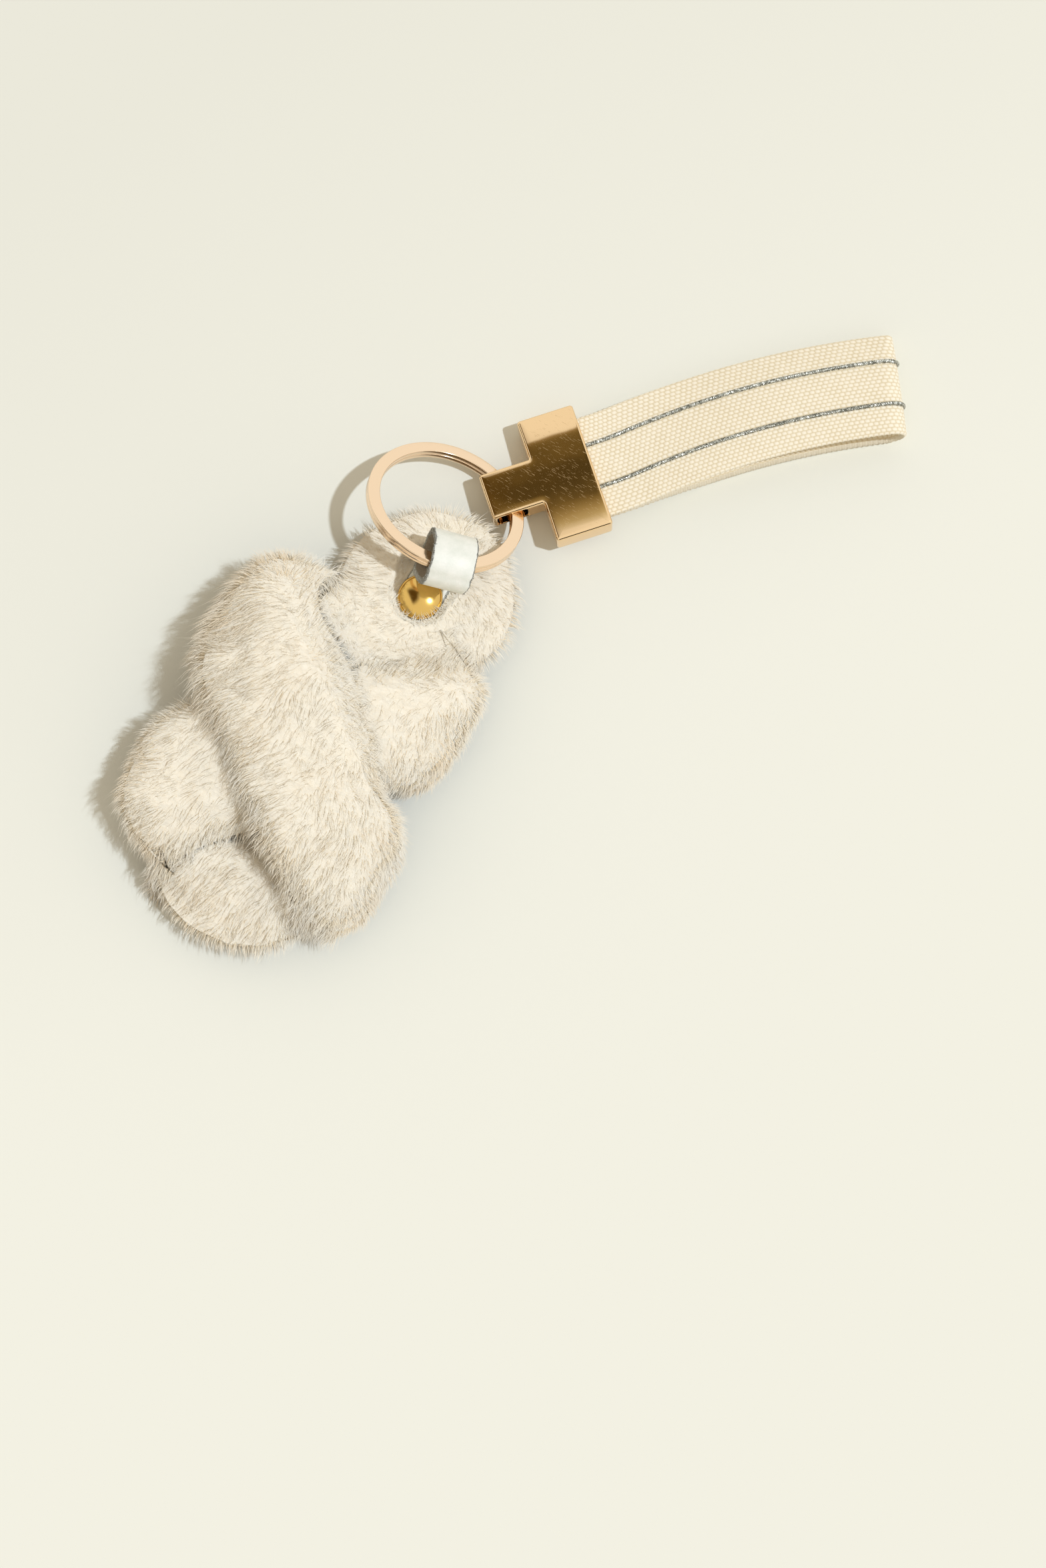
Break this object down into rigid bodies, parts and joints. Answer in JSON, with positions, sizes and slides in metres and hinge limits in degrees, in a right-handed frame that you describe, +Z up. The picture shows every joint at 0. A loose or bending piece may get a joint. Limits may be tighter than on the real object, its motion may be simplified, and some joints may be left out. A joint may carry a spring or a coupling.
{
  "type": "plush keychain",
  "caption": "Miniature crossed-strap shearling slide slipper hung by a riveted leather tab from a split ring, with a T-shaped clasp and a folded webbing wrist loop.",
  "frame": {"origin": "centre of the slipper's outsole on its ground face", "axes": "+Y from the toe to the heel, +X to the outer side the clasp lies towards, +Z up from the ground"},
  "size_m": [0.1102, 0.1965, 0.0342],
  "materials": {
    "sole_rubber": "moulded thin rubber outsole, matte",
    "fibre_board": "pressed fibre insole board, hidden inside the sole",
    "sheep_hide": "sueded back of the sheepskin",
    "footbed_wool": "dense clipped cream wool pile",
    "strap_wool": "dense long cream wool pile",
    "gold_rivet": "polished yellow-gold plated dome",
    "white_leather": "smooth white finished leather with raw cut edges",
    "rose_gold_wire": "bright pale rose-gold plated flat spring wire",
    "rose_gold_casting": "polished pale rose-gold plated casting with fine scratches",
    "plated_screw": "plated slotted grub screw",
    "cream_webbing": "cream woven webbing with a raised basket weave",
    "silver_yarn": "silver metallic yarn couched on the webbing"
  },
  "bodies": {
    "slipper": {"outsole": "sole_rubber", "insole_board": "fibre_board", "footbed_hide": "sheep_hide", "footbed_fleece": "footbed_wool", "under_strap_hide": "sheep_hide", "under_strap_fleece": "strap_wool", "over_strap_hide": "sheep_hide", "over_strap_fleece": "strap_wool", "rivet_cap": "gold_rivet", "rivet_base": "gold_rivet"},
    "tab": {"hang_tab": "white_leather"},
    "ring": {"split_ring": "rose_gold_wire"},
    "clasp": {"clasp_body": "rose_gold_casting", "clasp_screws": "plated_screw", "webbing_loop": "cream_webbing", "near_metallic_cord": "silver_yarn", "far_metallic_cord": "silver_yarn"}
  },
  "joints": [
    {"name": "tab_swivel", "type": "hinge", "parent": "slipper", "child": "tab", "pos_m": [0, 0.034, 0.008], "axis": [0, 0, 1], "range_deg": [-15, 15]},
    {"name": "ring_swing", "type": "hinge", "parent": "tab", "child": "ring", "pos_m": [0.00335, 0.04195, 0.0205], "axis": [0.8694, 0.3862, -0.3082], "range_deg": [0, 95]},
    {"name": "clasp_swing", "type": "hinge", "parent": "ring", "child": "clasp", "pos_m": [0.0042, 0.06383, 0.0054], "axis": [0.746, -0.6577, 0.1045], "range_deg": [-30, 80]}
  ]
}
